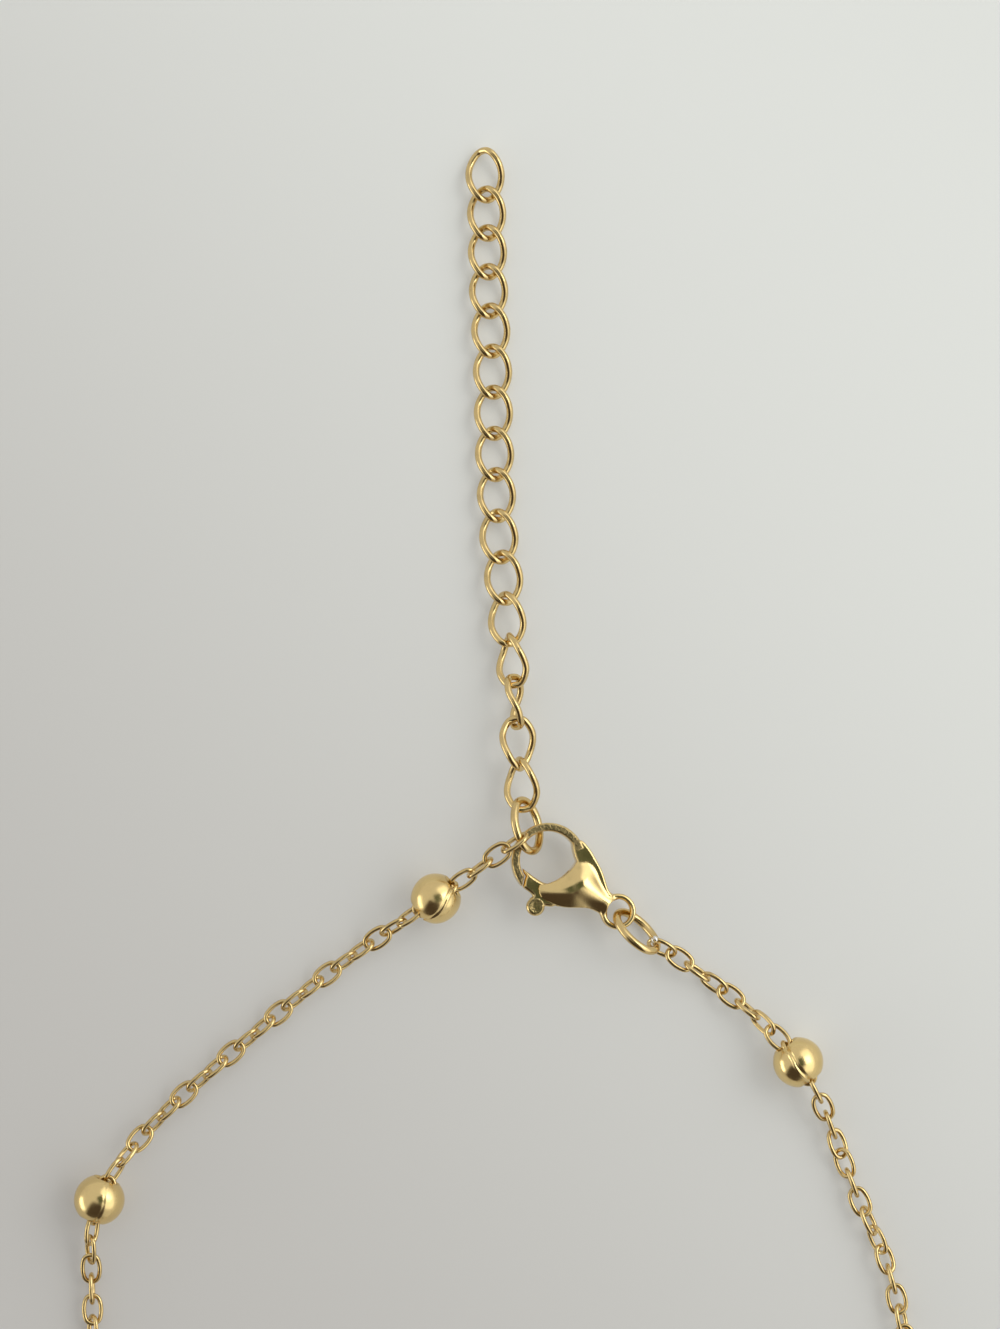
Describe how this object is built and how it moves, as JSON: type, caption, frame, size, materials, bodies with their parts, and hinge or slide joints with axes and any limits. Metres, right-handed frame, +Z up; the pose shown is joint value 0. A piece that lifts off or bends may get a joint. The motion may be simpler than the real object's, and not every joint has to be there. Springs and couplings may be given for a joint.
{
  "type": "ball station chain anklet",
  "caption": "Fine cable chain anklet with small balls clamped on it at even steps, closed by a lobster clasp, with a curb chain extender.",
  "frame": {"origin": "centre of the footprint, on the surface that the anklet lies on", "axes": "+Y along the extender towards its free end, +Z up from the surface it lies on, +X towards the side that the clasp's end ring points to"},
  "size_m": [0.0642, 0.1374, 0.0039],
  "materials": {
    "bead_gold": "polished gold plate",
    "chain_gold": "polished gold plate",
    "clasp_gold": "polished gold plate"
  },
  "bodies": {
    "anklet": {"bead_1": "bead_gold", "bead_2": "bead_gold", "bead_3": "bead_gold", "bead_4": "bead_gold", "bead_5": "bead_gold", "bead_6": "bead_gold", "bead_7": "bead_gold", "cable_chain_left": "chain_gold", "cable_chain_right": "chain_gold", "clasp_body": "clasp_gold", "clasp_pivot_pin": "clasp_gold", "extender_link_01": "chain_gold", "extender_link_02": "chain_gold", "extender_link_03": "chain_gold", "extender_link_04": "chain_gold", "extender_link_05": "chain_gold", "extender_link_06": "chain_gold", "extender_link_07": "chain_gold", "extender_link_08": "chain_gold", "extender_link_09": "chain_gold", "extender_link_10": "chain_gold", "extender_link_11": "chain_gold", "extender_link_12": "chain_gold", "extender_link_13": "chain_gold", "extender_link_14": "chain_gold", "extender_link_15": "chain_gold", "extender_link_16": "chain_gold", "hook_ring": "chain_gold", "jump_ring": "chain_gold"},
    "lever": {"clasp_lever": "clasp_gold"}
  },
  "joints": [
    {"name": "lever_hinge", "type": "hinge", "parent": "anklet", "child": "lever", "pos_m": [0.00419, 0.01422, 0.00178], "axis": [-0.128, -0.057, -0.9901], "range_deg": [0, 18], "stiffness_Nm_per_rad": 0.001, "springref_deg": -28.65}
  ]
}
